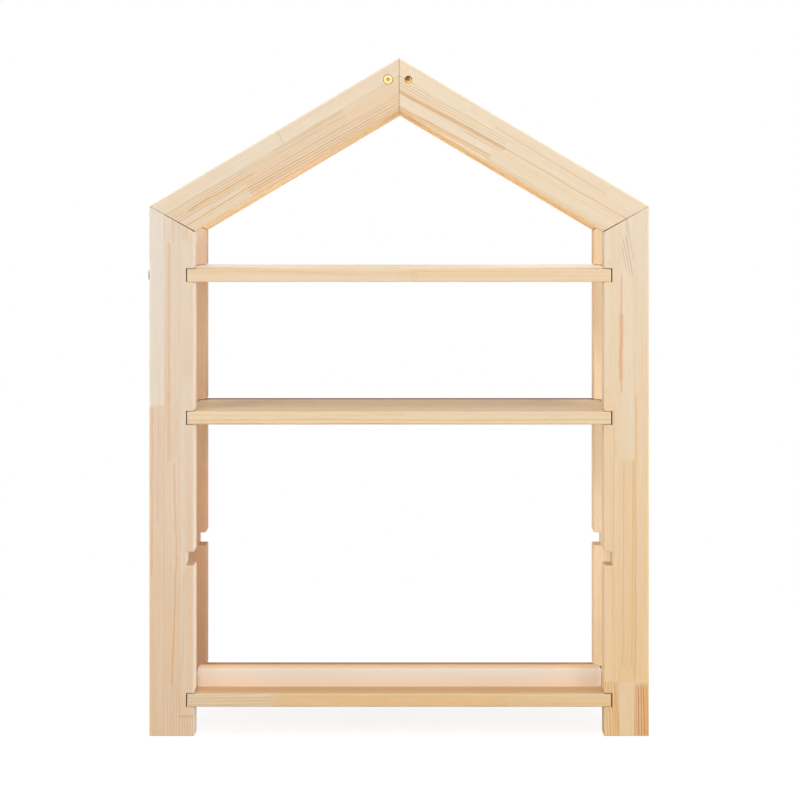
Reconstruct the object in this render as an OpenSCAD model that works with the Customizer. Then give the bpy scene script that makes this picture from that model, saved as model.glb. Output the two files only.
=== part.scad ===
// House-shaped bookcase for a child's room: two house-shaped frames of laminated pine,
// held apart by a ridge beam and three shelves that sit in slots cut through the posts.
// Millimetres. The origin lies on the floor under the middle of the case, +Z points up,
// the open front faces -Y and +X is to the right as seen from the front.

/* [Case] */
// Width over the outer faces of the posts
case_w = 700; // [600:1:900]
// Depth over the front and rear frames
case_d = 240; // [200:1:320]
// Height of the ridge above the floor
ridge_h = 950; // [900:1:1100]
// Height of the outer eave corners above the floor
eave_h = 742; // [720:1:800]

/* [Frame members] */
// Width of the posts and rafters in the plane of the frame
member_w = 63; // [50:1:80]
// Thickness of the posts and rafters from front to back
frame_t = 40; // [32:1:48]
// Radius of the eased long edges of posts, rafters and ridge beam
edge_r = 2.5; // [1:0.25:4]
// Height by which the eave mitre stands open at its inner end
eave_opening = 1.5; // [0:0.1:3]
// Size of the bevel on the edges of the mitres, ridge joints and feet
joint_bevel = 0.8; // [0.3:0.1:1.5]

/* [Slots] */
// Depth of the slots, measured from the inner faces of the posts
slot_depth = 11.5; // [8:0.5:16]
// Play of the boards in the height of the slots
slot_play = 0.8; // [0.4:0.1:1.5]
// Radius of the rounded slot mouths
mouth_r = 2.5; // [1:0.25:3]
// Radius of the sanded slot rims on the front and rear faces
rim_r = 1.5; // [0.5:0.25:2.5]
// Height of the lower face of the bottom shelf's slot
bottom_slot_z = 41; // [30:1:60]
// Height of the lower face of the spare slot
spare_slot_z = 239; // [180:1:300]
// Height of the lower face of the middle shelf's slot
middle_slot_z = 436; // [380:1:500]
// Depth of the lower face of the top shelf's slot below the outer eave corners
top_slot_drop = 106; // [100:1:140]

/* [Shelves] */
// Thickness of the shelf boards
shelf_t = 18; // [16:1:20]
// Gap between a shelf's end and the end wall of its slot
shelf_end_gap = 1.5; // [0.5:0.1:3]
// Distance from the shelves' rear edges to the rear face of the case
shelf_setback = 5; // [0:1:15]
// Radius of the shelves' eased edges
shelf_edge_r = 1.5; // [0.5:0.25:3]
// Height at which the loose middle shelf floats over its slot faces
loose_gap = 0.3; // [0.2:0.05:0.35]

/* [Rail] */
// Height of the rail that stands on the bottom shelf
rail_h = 29; // [22:1:40]
// Thickness of the rail
rail_t = 18; // [14:1:24]
// Gap between the front frame and the rail
rail_gap = 13; // [5:1:40]
// Radius of the rail's rounded edges
rail_r = 6; // [2:0.5:7]

/* [Ridge beam] */
// Width of the ridge beam, which lies flat
beam_w = 63; // [56:1:70]
// Height of the ridge beam
beam_t = 40; // [32:1:40]
// Depth of the beam's upper edges below the roof line
beam_cover = 1.5; // [1:0.5:3]

/* [Bolts] */
// Diameter of the threaded shanks
bolt_d = 6; // [5:0.5:6.5]
// Diameter of the flat bolt heads
head_d = 13.6; // [12:0.1:15]
// Thickness of the flat bolt heads
head_t = 4; // [3:0.5:5]
// Width across flats of the hexagon sockets
socket_w = 4; // [3:0.5:4.5]
// Depth of the hexagon sockets
socket_depth = 3; // [2:0.5:4]
// Shank length of the shelf bolts
shelf_bolt_l = 90; // [88:1:94]
// Height by which the loosest shelf bolt stands out of its post
proud_h = 2.5; // [0:0.5:4]
// Shank length of the flush ridge bolts
flush_bolt_l = 50; // [48:1:52]
// Diameter of the cylinder head of the recessed ridge bolt
cap_head_d = 9.8; // [9.2:0.1:10]
// Height of the cylinder head of the recessed ridge bolt
cap_head_t = 6; // [5:0.5:7]
// Depth of the recessed head below the rafter's front face
cap_depth = 7; // [4:0.5:9]
// Shank length of the recessed ridge bolt
cap_bolt_l = 40; // [38:1:42]
// Distance from the ridge line to the bolt in the left rafter
left_bolt_x = 15.5; // [13:0.5:18]
// Distance from the ridge line to the bolt in the right rafter
right_bolt_x = 13; // [12:0.5:18]
// Depth of the ridge bolts below the ridge
ridge_bolt_drop = 30.5; // [29:0.5:33]

/* [Rail screws] */
// Diameter of the screws that hold the rail from below
screw_d = 4; // [3:0.5:5]
// Length of these screws with their heads
screw_l = 40; // [30:1:42]
// Diameter of their countersunk heads
screw_head_d = 8; // [7:0.5:9]
// Distance from the middle screw to each outer one
screw_gap = 220; // [150:5:240]

/* [Barrel nuts and inserts] */
// Diameter of the barrel nuts
nut_d = 10; // [9:0.5:12]
// Length of the barrel nuts
nut_l = 12; // [10:1:13]
// Length of shank that stands out behind the barrel nut
nut_tail = 1; // [0:0.5:2]
// Outer diameter of the threaded inserts in the ridge beam
insert_d = 9; // [8:0.5:10]
// Length of the threaded inserts
insert_l = 13; // [10:1:15]

/* [Dowels] */
// Diameter of the wooden dowels
dowel_d = 8; // [6:0.5:10]
// Length of the wooden dowels
dowel_l = 40; // [30:1:44]
// Distance along the eave mitre from its outer corner to the first dowel
eave_dowel_start = 24; // [20:1:28]
// Distance between the two dowels of an eave mitre
eave_dowel_gap = 24; // [16:1:28]
// Depth of the ridge dowels below the ridge
ridge_dowel_drop = 55; // [52:1:58]
// Distance between the two dowels of a ridge joint
ridge_dowel_gap = 18; // [12:1:20]

/* [Clearances] */
// Play all round a bolt shank in its drilled hole
bolt_play = 0.2; // [0.1:0.05:0.5]
// Play all round a bolt head in its counterbore
head_play = 0.3; // [0.1:0.05:0.6]
// Play all round a dowel, nut, insert or thread in its bore
fit_play = 0.05; // [0.01:0.01:0.1]
// Room at the end of each blind hole
end_room = 1; // [0.5:0.1:2]

/* [Hidden] */
$fn = 64;

left = -1;
right = 1;
front = -1;
rear = 1;
sides = [left, right];
faces = [front, rear];

pine = "#e8cfa8";
pine_shelf = "#e4c49a";
beech = "#d8b98a";
birch = "#ecd9c2";
brass = "#c2a15c";
steel = "#b9b6ae";

// How far a cutter reaches past the surface that it cuts
over = 1;
// How far a trimming outline reaches past the member that it trims
trim = 8;
// Size of the bevel round a bolt head and at a dowel's ends
head_bevel = 0.6;
dowel_bevel = 1;
// Driver slot in the lower end of a barrel nut
driver_slot_w = 1.2;
driver_slot_depth = 1.2;
// Cross recess in the rail screws' heads, and the length of their points
cross_l = 4.6;
cross_w = 0.9;
cross_depth = 1.6;
screw_point_l = 5;

outer_x = case_w / 2;
inner_x = outer_x - member_w;
frame_y = (case_d - frame_t) / 2;
pitch = atan((ridge_h - eave_h) / outer_x);
// Height lost along the eave mitre from its outer to its inner corner
eave_drop = member_w / tan((90 + pitch) / 2);
mitre_l = norm([member_w, eave_drop]);
rafter_l = outer_x / cos(pitch);

slot_h = shelf_t + slot_play;
top_slot_z = eave_h - top_slot_drop;
slot_levels = [bottom_slot_z, spare_slot_z, middle_slot_z, top_slot_z];
bolted_levels = [bottom_slot_z, top_slot_z];

shelf_l = 2 * (inner_x + slot_depth - shelf_end_gap);
shelf_d = case_d - shelf_setback;
shelf_y = -shelf_setback / 2;

rail_l = 2 * inner_x;
rail_y = -frame_y + (frame_t + rail_t) / 2 + rail_gap;
rail_z = bottom_slot_z + shelf_t;
rail_screw_places = [-screw_gap, 0, screw_gap];

beam_l = case_d - 2 * frame_t;
beam_top_z = ridge_h - beam_w / 2 * tan(pitch) - beam_cover;
ridge_bolt_z = ridge_h - ridge_bolt_drop;
ridge_dowel_z = ridge_h - ridge_dowel_drop;

shank_hole_d = bolt_d + 2 * bolt_play;
head_hole_d = head_d + 2 * head_play;
cap_hole_d = cap_head_d + 2 * head_play;
thread_hole_d = bolt_d + 2 * fit_play;
dowel_hole_d = dowel_d + 2 * fit_play;

// How far the shelf bolts reach in from the outer faces of the posts, and where their nuts lie
shelf_bolt_reach = head_t + shelf_bolt_l;
nut_x = outer_x - shelf_bolt_reach + nut_tail + nut_d / 2;
// How far the bores for the ridge bolts reach into the ridge beam
flush_bolt_reach = head_t + flush_bolt_l - frame_t;
cap_bolt_reach = cap_depth + cap_head_t + cap_bolt_l - frame_t;
beam_bore_depth = max(insert_l, flush_bolt_reach, cap_bolt_reach) + end_room;

// ---------- shared shapes ----------

// Rectangle with round corners, centred on the origin
module rounded_rect(w, h, r) {
    square([w - 2 * r, h], center = true);
    square([w, h - 2 * r], center = true);
    for (x = sides, y = sides)
        translate([x * (w / 2 - r), y * (h / 2 - r)])
            circle(r);
}

// What rounding takes off a square corner at the origin whose wood lies towards +X and +Y
module corner_waste(r) {
    difference() {
        translate([-over, -over]) square(r + over);
        translate([r, r]) circle(r);
    }
}

// Waste of such a corner along +X from the origin, whose wood lies towards +Y and +Z
module edge_waste(length, r) {
    rotate([90, 0, 90])
        linear_extrude(length) corner_waste(r);
}

// What a joint's bevel takes off such a square corner
module bevel_waste() {
    polygon([[-over, -over], [joint_bevel + over, -over], [-over, joint_bevel + over]]);
}

// Waste of a joint's edge on a member's -Y face, which runs along -X with the wood above it
module joint_edge_waste(length) {
    translate([-length - trim, -frame_t / 2, 0])
        rotate([90, 0, 90])
            linear_extrude(length + 2 * trim) bevel_waste();
}

// Extrudes an outline drawn in X and Z through the given thickness, centred on Y = 0
module through(thickness) {
    rotate([90, 0, 0])
        linear_extrude(thickness, center = true)
            children();
}

// Outline that stands on the X axis and has round upper corners
module round_topped(w, h, r) {
    translate([-w / 2, 0]) square([w, h - r]);
    translate([-w / 2 + r, 0]) square([w - 2 * r, h]);
    for (x = sides)
        translate([x * (w / 2 - r), h - r]) circle(r);
}

// Bolt along +Z whose head's outer face lies at Z = 0, with a hexagon socket in it
module socket_bolt(width, height, shank_l) {
    difference() {
        union() {
            cylinder(d1 = width - 2 * head_bevel, d2 = width, h = head_bevel);
            translate([0, 0, head_bevel]) cylinder(d = width, h = height - head_bevel);
            translate([0, 0, height]) cylinder(d = bolt_d, h = shank_l);
        }
        translate([0, 0, -over])
            cylinder(d = socket_w / cos(30), h = socket_depth + over, $fn = 6);
    }
}

// Hole along +Z for such a bolt: a head recess that starts at Z = 0, and the shank's bore
module bolt_hole(recess_d, recess_depth, depth) {
    translate([0, 0, -over]) cylinder(d = recess_d, h = recess_depth + over);
    translate([0, 0, -over]) cylinder(d = shank_hole_d, h = depth + over);
}

// Wooden dowel along Z with bevelled ends, centred on the origin
module dowel() {
    for (end = [0, 1])
        mirror([0, 0, end]) {
            cylinder(d = dowel_d, h = dowel_l / 2 - dowel_bevel);
            translate([0, 0, dowel_l / 2 - dowel_bevel])
                cylinder(d1 = dowel_d, d2 = dowel_d - 2 * dowel_bevel, h = dowel_bevel);
        }
}

// Hole for that dowel, with room at both ends
module dowel_hole() {
    cylinder(d = dowel_hole_d, h = dowel_l + 2 * end_room, center = true);
}

// ---------- places ----------

// Puts children, drawn on the right at Y = 0, into the frame and on the side named
module at_frame(face) {
    translate([0, face * frame_y, 0]) children();
}
module on_side(side) {
    mirror([side == left ? 1 : 0, 0, 0]) children();
}

// Turns +Z to point from the outer face of the post, at the shelf's mid-height, into the post
module at_shelf_bolt(side, face, level) {
    on_side(side)
        at_frame(face)
            translate([outer_x, 0, level + shelf_t / 2])
                rotate([0, -90, 0]) children();
}

// Turns +Z to point from the outer face of the rafter towards the ridge beam
module at_ridge_bolt(x, face) {
    translate([x, face * case_d / 2, ridge_bolt_z])
        rotate([face * 90, 0, 0]) children();
}

// Lays X along the eave mitre of the right-hand side, with its outer corner at the origin
module at_mitre(opening = 0) {
    translate([outer_x, 0, eave_h])
        rotate([0, -atan((eave_drop - opening) / member_w), 0]) children();
}

// Lays Z across that mitre, at both dowels
module at_eave_dowels() {
    at_mitre()
        for (place = [eave_dowel_start, eave_dowel_start + eave_dowel_gap])
            translate([-place, 0, 0]) children();
}

// Lays Z along X through the ridge joint, at both dowels
module at_ridge_dowels() {
    for (y = sides)
        translate([0, y * ridge_dowel_gap / 2, ridge_dowel_z])
            rotate([0, 90, 0]) children();
}

// ---------- posts ----------

// Height of the post's mitre line at a distance x from the middle
function mitre_z(x, opening = 0) = eave_h - (outer_x - x) * (eave_drop - opening) / member_w;

// Outline of one slot with its rounded mouth, in X and Z
module slot_outline(level) {
    translate([inner_x - trim, level])
        square([slot_depth + trim, slot_h]);
    translate([inner_x, level]) mirror([0, 1]) corner_waste(mouth_r);
    translate([inner_x, level + slot_h]) corner_waste(mouth_r);
}

// Sanded rim of one slot on the face of the frame that looks towards -Y
module slot_rim(level) {
    for (edge = [0, 1])
        translate([inner_x - over, -frame_t / 2, level + edge * slot_h])
            mirror([0, 0, 1 - edge]) edge_waste(slot_depth + over, rim_r);
    translate([inner_x + slot_depth, -frame_t / 2, level])
        linear_extrude(slot_h) corner_waste(rim_r);
}

// Right-hand post at Y = 0, without its bolt holes
module plain_post() {
    difference() {
        intersection() {
            translate([outer_x - member_w / 2, 0, 0])
                linear_extrude(eave_h + trim) rounded_rect(member_w, frame_t, edge_r);
            through(frame_t + 2 * over)
                polygon([
                    [inner_x - trim, 0],
                    [outer_x + trim, 0],
                    [outer_x + trim, mitre_z(outer_x + trim)],
                    [inner_x - trim, mitre_z(inner_x - trim)]
                ]);
        }
        for (level = slot_levels)
            through(frame_t + 2 * over) slot_outline(level);
        for (face = [0, 1])
            mirror([0, face, 0]) {
                for (level = slot_levels) slot_rim(level);
                at_mitre() mirror([0, 0, 1]) joint_edge_waste(mitre_l);
                translate([outer_x, 0, 0]) joint_edge_waste(member_w);
            }
        at_eave_dowels() dowel_hole();
    }
}

module post(side, face) {
    color(pine)
        difference() {
            on_side(side) at_frame(face) plain_post();
            for (level = bolted_levels)
                at_shelf_bolt(side, face, level) bolt_hole(head_hole_d, head_t, member_w);
        }
}

// ---------- rafters ----------

// Right-hand rafter at Y = 0, without its bolt hole
module plain_rafter() {
    difference() {
        intersection() {
            translate([outer_x, 0, eave_h])
                rotate([0, pitch - 90, 0])
                    translate([-member_w / 2, 0, -member_w])
                        linear_extrude(rafter_l + 2 * member_w) rounded_rect(member_w, frame_t, edge_r);
            through(frame_t + 2 * over)
                polygon([
                    [0, mitre_z(inner_x - trim, eave_opening)],
                    [inner_x - trim, mitre_z(inner_x - trim, eave_opening)],
                    [outer_x + trim, mitre_z(outer_x + trim, eave_opening)],
                    [outer_x + trim, ridge_h + trim],
                    [0, ridge_h + trim]
                ]);
        }
        for (face = [0, 1])
            mirror([0, face, 0]) {
                at_mitre(eave_opening) joint_edge_waste(mitre_l);
                translate([0, -frame_t / 2, ridge_h - 2 * member_w])
                    linear_extrude(2 * member_w + trim) bevel_waste();
            }
        at_eave_dowels() dowel_hole();
        at_ridge_dowels() dowel_hole();
    }
}

module rafter(side, face) {
    color(pine)
        difference() {
            on_side(side) at_frame(face) plain_rafter();
            if (side == left)
                at_ridge_bolt(-left_bolt_x, face) bolt_hole(head_hole_d, head_t, frame_t + over);
            else if (face == rear)
                at_ridge_bolt(right_bolt_x, face) bolt_hole(head_hole_d, head_t, frame_t + over);
            else
                at_ridge_bolt(right_bolt_x, face)
                    bolt_hole(cap_hole_d, cap_depth + cap_head_t, frame_t + over);
        }
}

// ---------- ridge beam ----------

module ridge_beam() {
    color(pine_shelf)
        difference() {
            translate([0, 0, beam_top_z - beam_t / 2])
                through(beam_l) rounded_rect(beam_w, beam_t, edge_r);
            for (face = faces, x = [-left_bolt_x, right_bolt_x])
                translate([x, face * beam_l / 2, ridge_bolt_z])
                    rotate([face * 90, 0, 0])
                        bolt_hole(insert_d + 2 * fit_play, insert_l, beam_bore_depth);
        }
}

module ridge_inserts() {
    color(brass)
        for (face = faces, x = [-left_bolt_x, right_bolt_x])
            translate([x, face * beam_l / 2, ridge_bolt_z])
                rotate([face * 90, 0, 0])
                    difference() {
                        cylinder(d = insert_d, h = insert_l);
                        translate([0, 0, -over])
                            cylinder(d = thread_hole_d, h = insert_l + 2 * over);
                    }
}

// ---------- shelves ----------

// Plain board with eased edges whose lower face lies at the height given
module board(level) {
    translate([0, shelf_y, level + shelf_t / 2])
        intersection() {
            rotate([90, 0, 90])
                linear_extrude(shelf_l + over, center = true)
                    rounded_rect(shelf_d, shelf_t, shelf_edge_r);
            through(shelf_d + over) rounded_rect(shelf_l, shelf_t, shelf_edge_r);
            linear_extrude(shelf_t + over, center = true)
                rounded_rect(shelf_l, shelf_d, shelf_edge_r);
        }
}

// Puts children on the lower face of the bottom shelf, under the rail, at each screw
module at_rail_screws() {
    for (x = rail_screw_places)
        translate([x, rail_y, bottom_slot_z]) children();
}

// Smooth rail with rounded edges that stands on the bottom shelf and keeps things from sliding out
module shelf_rail() {
    color(birch)
        difference() {
            translate([0, rail_y, rail_z])
                intersection() {
                    through(rail_t + over) round_topped(rail_l, rail_h, rail_r);
                    rotate([90, 0, 90])
                        linear_extrude(rail_l + over, center = true)
                            round_topped(rail_t, rail_h, rail_r);
                    linear_extrude(rail_h + over) rounded_rect(rail_l, rail_t, rail_r);
                }
            at_rail_screws()
                cylinder(d = screw_d + 2 * fit_play, h = screw_l + end_room);
        }
}

// Bottom shelf with the countersunk bores for the rail's screws
module bottom_shelf() {
    color(pine_shelf)
        difference() {
            bolted_board(bottom_slot_z);
            at_rail_screws() {
                cylinder(d = screw_d + 2 * bolt_play, h = shelf_t + over);
                translate([0, 0, -over])
                    cylinder(d = screw_head_d + 2 * bolt_play, h = over);
                cylinder(
                    d1 = screw_head_d + 2 * bolt_play,
                    d2 = screw_d + 2 * bolt_play,
                    h = (screw_head_d - screw_d) / 2
                );
            }
        }
}

// Board that is bolted to the four posts: each end has bores for its bolts and barrel nuts
module bolted_board(level) {
    color(pine_shelf)
        difference() {
            board(level);
            for (side = sides, face = faces) {
                at_shelf_bolt(side, face, level)
                    cylinder(d = shank_hole_d, h = shelf_bolt_reach + end_room);
                translate([side * nut_x, face * frame_y, level - over])
                    cylinder(d = nut_d + 2 * fit_play, h = (shelf_t + nut_l) / 2 + fit_play + over);
            }
        }
}

module middle_shelf() {
    color(pine_shelf) board(middle_slot_z + loose_gap);
}

// ---------- fasteners ----------

module shelf_bolt(side, face, level, proud) {
    color(steel)
        at_shelf_bolt(side, face, level)
            translate([0, 0, -proud]) socket_bolt(head_d, head_t, shelf_bolt_l);
}

module barrel_nuts(level) {
    color(steel)
        for (side = sides, face = faces)
            translate([side * nut_x, face * frame_y, level + shelf_t / 2])
                difference() {
                    cylinder(d = nut_d, h = nut_l, center = true);
                    rotate([0, 90, 0])
                        cylinder(d = thread_hole_d, h = nut_d + 2 * over, center = true);
                    translate([0, 0, -nut_l / 2])
                        cube([nut_d + 2 * over, driver_slot_w, 2 * driver_slot_depth], center = true);
                }
}

module rail_screws() {
    color(steel)
        at_rail_screws()
            difference() {
                union() {
                    cylinder(d1 = screw_head_d, d2 = screw_d, h = (screw_head_d - screw_d) / 2);
                    cylinder(d = screw_d, h = screw_l - screw_point_l);
                    translate([0, 0, screw_l - screw_point_l])
                        cylinder(d1 = screw_d, d2 = 1, h = screw_point_l);
                }
                for (turn = [0, 90])
                    rotate([0, 0, turn])
                        cube([cross_l, cross_w, 2 * cross_depth], center = true);
            }
}

module top_shelf_bolts() {
    for (place = [[left, rear], [right, front], [right, rear]])
        shelf_bolt(place[0], place[1], top_slot_z, 0);
}

module bottom_shelf_bolts() {
    for (side = sides, face = faces)
        shelf_bolt(side, face, bottom_slot_z, 0);
}

module flush_ridge_bolt(x, face) {
    color(brass)
        at_ridge_bolt(x, face) socket_bolt(head_d, head_t, flush_bolt_l);
}

module front_recessed_ridge_bolt() {
    color(brass)
        at_ridge_bolt(right_bolt_x, front)
            translate([0, 0, cap_depth]) socket_bolt(cap_head_d, cap_head_t, cap_bolt_l);
}

module eave_dowels(face) {
    color(beech)
        for (side = sides)
            on_side(side) at_frame(face) at_eave_dowels() dowel();
}

module ridge_dowels(face) {
    color(beech)
        at_frame(face) at_ridge_dowels() dowel();
}

post(left, front);  // front_left_post
post(right, front);  // front_right_post
post(left, rear);  // rear_left_post
post(right, rear);  // rear_right_post
rafter(left, front);  // front_left_rafter
rafter(right, front);  // front_right_rafter
rafter(left, rear);  // rear_left_rafter
rafter(right, rear);  // rear_right_rafter
ridge_beam();
bottom_shelf();
middle_shelf();
bolted_board(top_slot_z);  // top_shelf
flush_ridge_bolt(-left_bolt_x, front);  // front_flush_ridge_bolt
front_recessed_ridge_bolt();
union() {  // rear_ridge_bolts
    flush_ridge_bolt(-left_bolt_x, rear);
    flush_ridge_bolt(right_bolt_x, rear);
}
ridge_inserts();
shelf_bolt(left, front, top_slot_z, proud_h);  // proud_shelf_bolt
top_shelf_bolts();
bottom_shelf_bolts();
barrel_nuts(top_slot_z);  // top_shelf_barrel_nuts
barrel_nuts(bottom_slot_z);  // bottom_shelf_barrel_nuts
shelf_rail();
rail_screws();
eave_dowels(front);  // front_eave_dowels
eave_dowels(rear);  // rear_eave_dowels
ridge_dowels(front);  // front_ridge_dowels
ridge_dowels(rear);  // rear_ridge_dowels
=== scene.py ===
"""Looks of the house-shaped bookcase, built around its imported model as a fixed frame.

Metres, in the model's own frame: the origin lies on the floor under the middle of the case, +Z is up,
the open front faces -Y and +X is to the right as seen from the front.
"""
import math
import random

import bpy
from mathutils import Matrix, Vector


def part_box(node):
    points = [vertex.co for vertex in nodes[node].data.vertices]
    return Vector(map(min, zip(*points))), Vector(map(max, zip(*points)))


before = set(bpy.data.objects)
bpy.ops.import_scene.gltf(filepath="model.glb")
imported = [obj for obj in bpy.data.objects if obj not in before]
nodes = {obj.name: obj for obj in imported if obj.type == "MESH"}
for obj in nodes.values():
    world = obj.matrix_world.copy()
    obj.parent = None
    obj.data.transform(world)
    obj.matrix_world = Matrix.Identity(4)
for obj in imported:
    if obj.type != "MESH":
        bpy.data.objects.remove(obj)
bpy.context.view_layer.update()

MM = 0.001
UP = Vector((0, 0, 1))
RIGHT = Vector((1, 0, 0))
BACK = Vector((0, 1, 0))

# ---------- sizes read from the frame ----------

post_low, post_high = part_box("front_right_post")
member_w = post_high.x - post_low.x
outer_x = post_high.x
eave_h = post_high.z
front_y = post_low.y
ridge_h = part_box("front_right_rafter")[1].z
pitch = math.atan2(ridge_h - eave_h, outer_x)
rafter_l = outer_x / math.cos(pitch)
shelf_low, shelf_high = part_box("middle_shelf")
shelf_l = shelf_high.x - shelf_low.x

# ---------- camera ----------

IMAGE = 800                 # side of the square picture in pixels
PIXELS_PER_M = 714.3        # in the plane of the case's front
CAMERA_DISTANCE = 3.400     # from that plane
CAMERA_X = 0.018
CAMERA_Z = 0.752
CENTRE_PX = 412.0           # where the camera's axis meets the picture
HORIZON_PX = 199.1
SENSOR = 36.0


def make_camera():
    data = bpy.data.cameras.new("camera")
    data.sensor_width = SENSOR
    data.lens = PIXELS_PER_M * CAMERA_DISTANCE * SENSOR / IMAGE
    data.shift_x = 0.5 - CENTRE_PX / IMAGE
    data.shift_y = HORIZON_PX / IMAGE - 0.5
    camera = bpy.data.objects.new("camera", data)
    camera.location = (CAMERA_X, front_y - CAMERA_DISTANCE, CAMERA_Z)
    camera.rotation_euler = (math.pi / 2, 0, 0)
    bpy.context.scene.collection.objects.link(camera)
    bpy.context.scene.camera = camera


# ---------- node helpers ----------

class Net:
    """Adds nodes to a node tree and links them; sockets and plain numbers can be mixed."""

    def __init__(self, tree):
        self.tree = tree

    def add(self, kind, **settings):
        node = self.tree.nodes.new(kind)
        for name, value in settings.items():
            setattr(node, name, value)
        return node

    def put(self, socket, value):
        if isinstance(value, bpy.types.NodeSocket):
            self.tree.links.new(value, socket)
        elif value is not None:
            socket.default_value = value

    def math(self, operation, a, b=None, clamp=False):
        node = self.add("ShaderNodeMath", operation=operation, use_clamp=clamp)
        self.put(node.inputs[0], a)
        self.put(node.inputs[1], b)
        return node.outputs[0]

    def rise(self, base, value, factor):
        """base + value * factor."""
        return self.math("ADD", base, self.math("MULTIPLY", value, factor))

    def swing(self, noise, width):
        """(noise - 0.5) * width, which lies around 0."""
        return self.math("MULTIPLY", self.math("SUBTRACT", noise, 0.5), width)

    def gap(self, a, b):
        """How far a and b lie apart."""
        return self.math("ABSOLUTE", self.math("SUBTRACT", a, b))

    def band(self, gap, half_width):
        """1 in the middle of a band, where gap is 0, falling to 0 at its edges."""
        return self.math("SUBTRACT", 1.0, self.math("DIVIDE", gap, half_width), clamp=True)

    def vector(self, operation, a, b=None):
        node = self.add("ShaderNodeVectorMath", operation=operation)
        self.put(node.inputs[0], a)
        self.put(node.inputs[1], b)
        return node.outputs["Value" if operation in ("DOT_PRODUCT", "LENGTH") else "Vector"]

    def split(self, vector):
        node = self.add("ShaderNodeSeparateXYZ")
        self.put(node.inputs[0], vector)
        return node.outputs

    def join(self, x, y, z):
        node = self.add("ShaderNodeCombineXYZ")
        for socket, value in zip(node.inputs, (x, y, z)):
            self.put(socket, value)
        return node.outputs[0]

    def grey(self, level):
        return self.join(level, level, level)

    def mix(self, factor, a, b, blend="MIX"):
        node = self.add("ShaderNodeMix", data_type="RGBA", blend_type=blend)
        self.put(node.inputs["Factor"], factor)
        self.put(node.inputs[6], a)
        self.put(node.inputs[7], b)
        return node.outputs[2]

    def tinted(self, colour, tint):
        """The product of two colours."""
        return self.mix(1.0, colour, tint, "MULTIPLY")

    def noise(self, vector, scale, detail=2.0, roughness=0.5):
        """Noise at one scale per metre, or at a scale of its own on each axis."""
        if isinstance(scale, tuple):
            vector = self.vector("MULTIPLY", vector, scale)
            scale = 1.0
        node = self.add("ShaderNodeTexNoise")
        self.put(node.inputs["Vector"], vector)
        node.inputs["Scale"].default_value = scale
        node.inputs["Detail"].default_value = detail
        node.inputs["Roughness"].default_value = roughness
        return node.outputs["Fac"]

    def white_noise(self, vector):
        node = self.add("ShaderNodeTexWhiteNoise")
        self.put(node.inputs["Vector"], vector)
        return node.outputs["Color"]

    def ramp(self, factor, stops, interpolation="LINEAR"):
        """Colour ramp from a list of (position, colour); a colour is 3 numbers or a grey level."""
        node = self.add("ShaderNodeValToRGB")
        self.put(node.inputs[0], factor)
        ramp = node.color_ramp
        ramp.interpolation = interpolation
        while len(ramp.elements) > len(stops):
            ramp.elements.remove(ramp.elements[-1])
        while len(ramp.elements) < len(stops):
            ramp.elements.new(1.0)
        for element, (position, colour) in zip(ramp.elements, stops):
            element.position = position
            levels = colour if isinstance(colour, tuple) else (colour, colour, colour)
            element.color = (*levels, 1.0)
        return node.outputs[0]

    def bump(self, shader, height, strength, distance):
        """Gives the shader a relief; distance is its depth in metres."""
        node = self.add("ShaderNodeBump")
        node.inputs["Strength"].default_value = strength
        node.inputs["Distance"].default_value = distance
        self.put(node.inputs["Height"], height)
        self.put(shader.inputs["Normal"], node.outputs[0])


def linear(red, green, blue):
    """Shader colour of an sRGB colour given in 0 to 255."""
    def channel(value):
        value /= 255
        return value / 12.92 if value <= 0.04045 else ((value + 0.055) / 1.055) ** 2.4
    return (channel(red), channel(green), channel(blue), 1.0)


def new_material(name):
    material = bpy.data.materials.new(name)
    material.use_nodes = True
    tree = material.node_tree
    shader = tree.nodes["Principled BSDF"]
    return material, Net(tree), shader


# ---------- pine: the grain of one piece ----------

# Wood at tone 0
PALE = linear(229, 215, 192)
# Paler, cooler wood of the front left post, which partly paints a glow of light on that side
COOL_WOOD_AND_PAINTED_GLOW = linear(230, 220, 205)
# Pale tone of the top shelf, which paints the sheen of light reflected off its top
PAINTED_SHEEN_PALE = linear(240, 230, 213)

# Wood at tone 1
WARM = linear(228, 186, 137)
GOLDEN = linear(231, 195, 143)
# Painted shade: the dark, warm tone of the rear left post where the front left post shades it
RUSSET_PAINTED_SHADE = linear(224, 172, 130)

# What is laid over or multiplied with it
PINK = linear(228, 192, 168)
LATEWOOD = linear(204, 158, 100)
GLUE = linear(178, 134, 92)
# Painted light: the pale inner side of the front left post, lit from the right
PAINTED_SIDE_LIGHT = linear(255, 239, 222)
END_GRAIN = linear(214, 186, 160)

# Noise scales per metre, along, across and deep
WARP_SCALE = (2.6, 20, 20)
STREAK_SCALE = (3.0, 95, 95)
FIBRE_SCALE = (14, 460, 460)
FLECK_SCALE = (55, 330, 330)
BLUSH_SCALE = (5.0, 34, 34)
FADING_SCALE = (7.0, 60, 60)
SEED_MOVES = (7.0, 3.0, 5.0)    # metres that a full seed moves the noise by

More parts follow.
